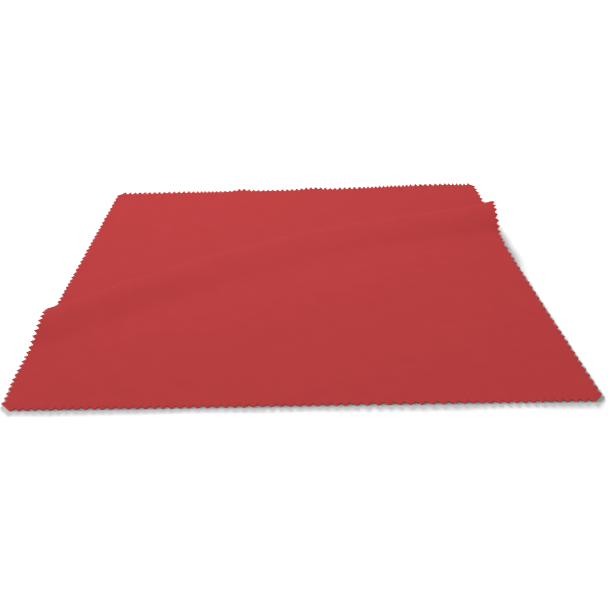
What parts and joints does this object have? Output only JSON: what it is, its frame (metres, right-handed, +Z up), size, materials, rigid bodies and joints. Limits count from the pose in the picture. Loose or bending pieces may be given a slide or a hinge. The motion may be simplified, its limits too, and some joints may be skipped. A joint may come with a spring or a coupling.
{
  "type": "pinked fabric cloth",
  "caption": "Square single-ply wiping cloth with a zigzag cut edge, lying flat with one low diagonal wave.",
  "frame": {"origin": "middle of the bounding box in plan, at the height of the surface that the cloth lies on", "axes": "+Z up out of the surface, +X to the right and +Y to the back, along the cut edges of the cloth"},
  "size_m": [0.1816, 0.1812, 0.01],
  "materials": {
    "red_fabric": "matt suede-like microfibre, very short even nap, no print"
  },
  "bodies": {
    "root": {"cloth_sheet": "red_fabric"}
  },
  "joints": []
}
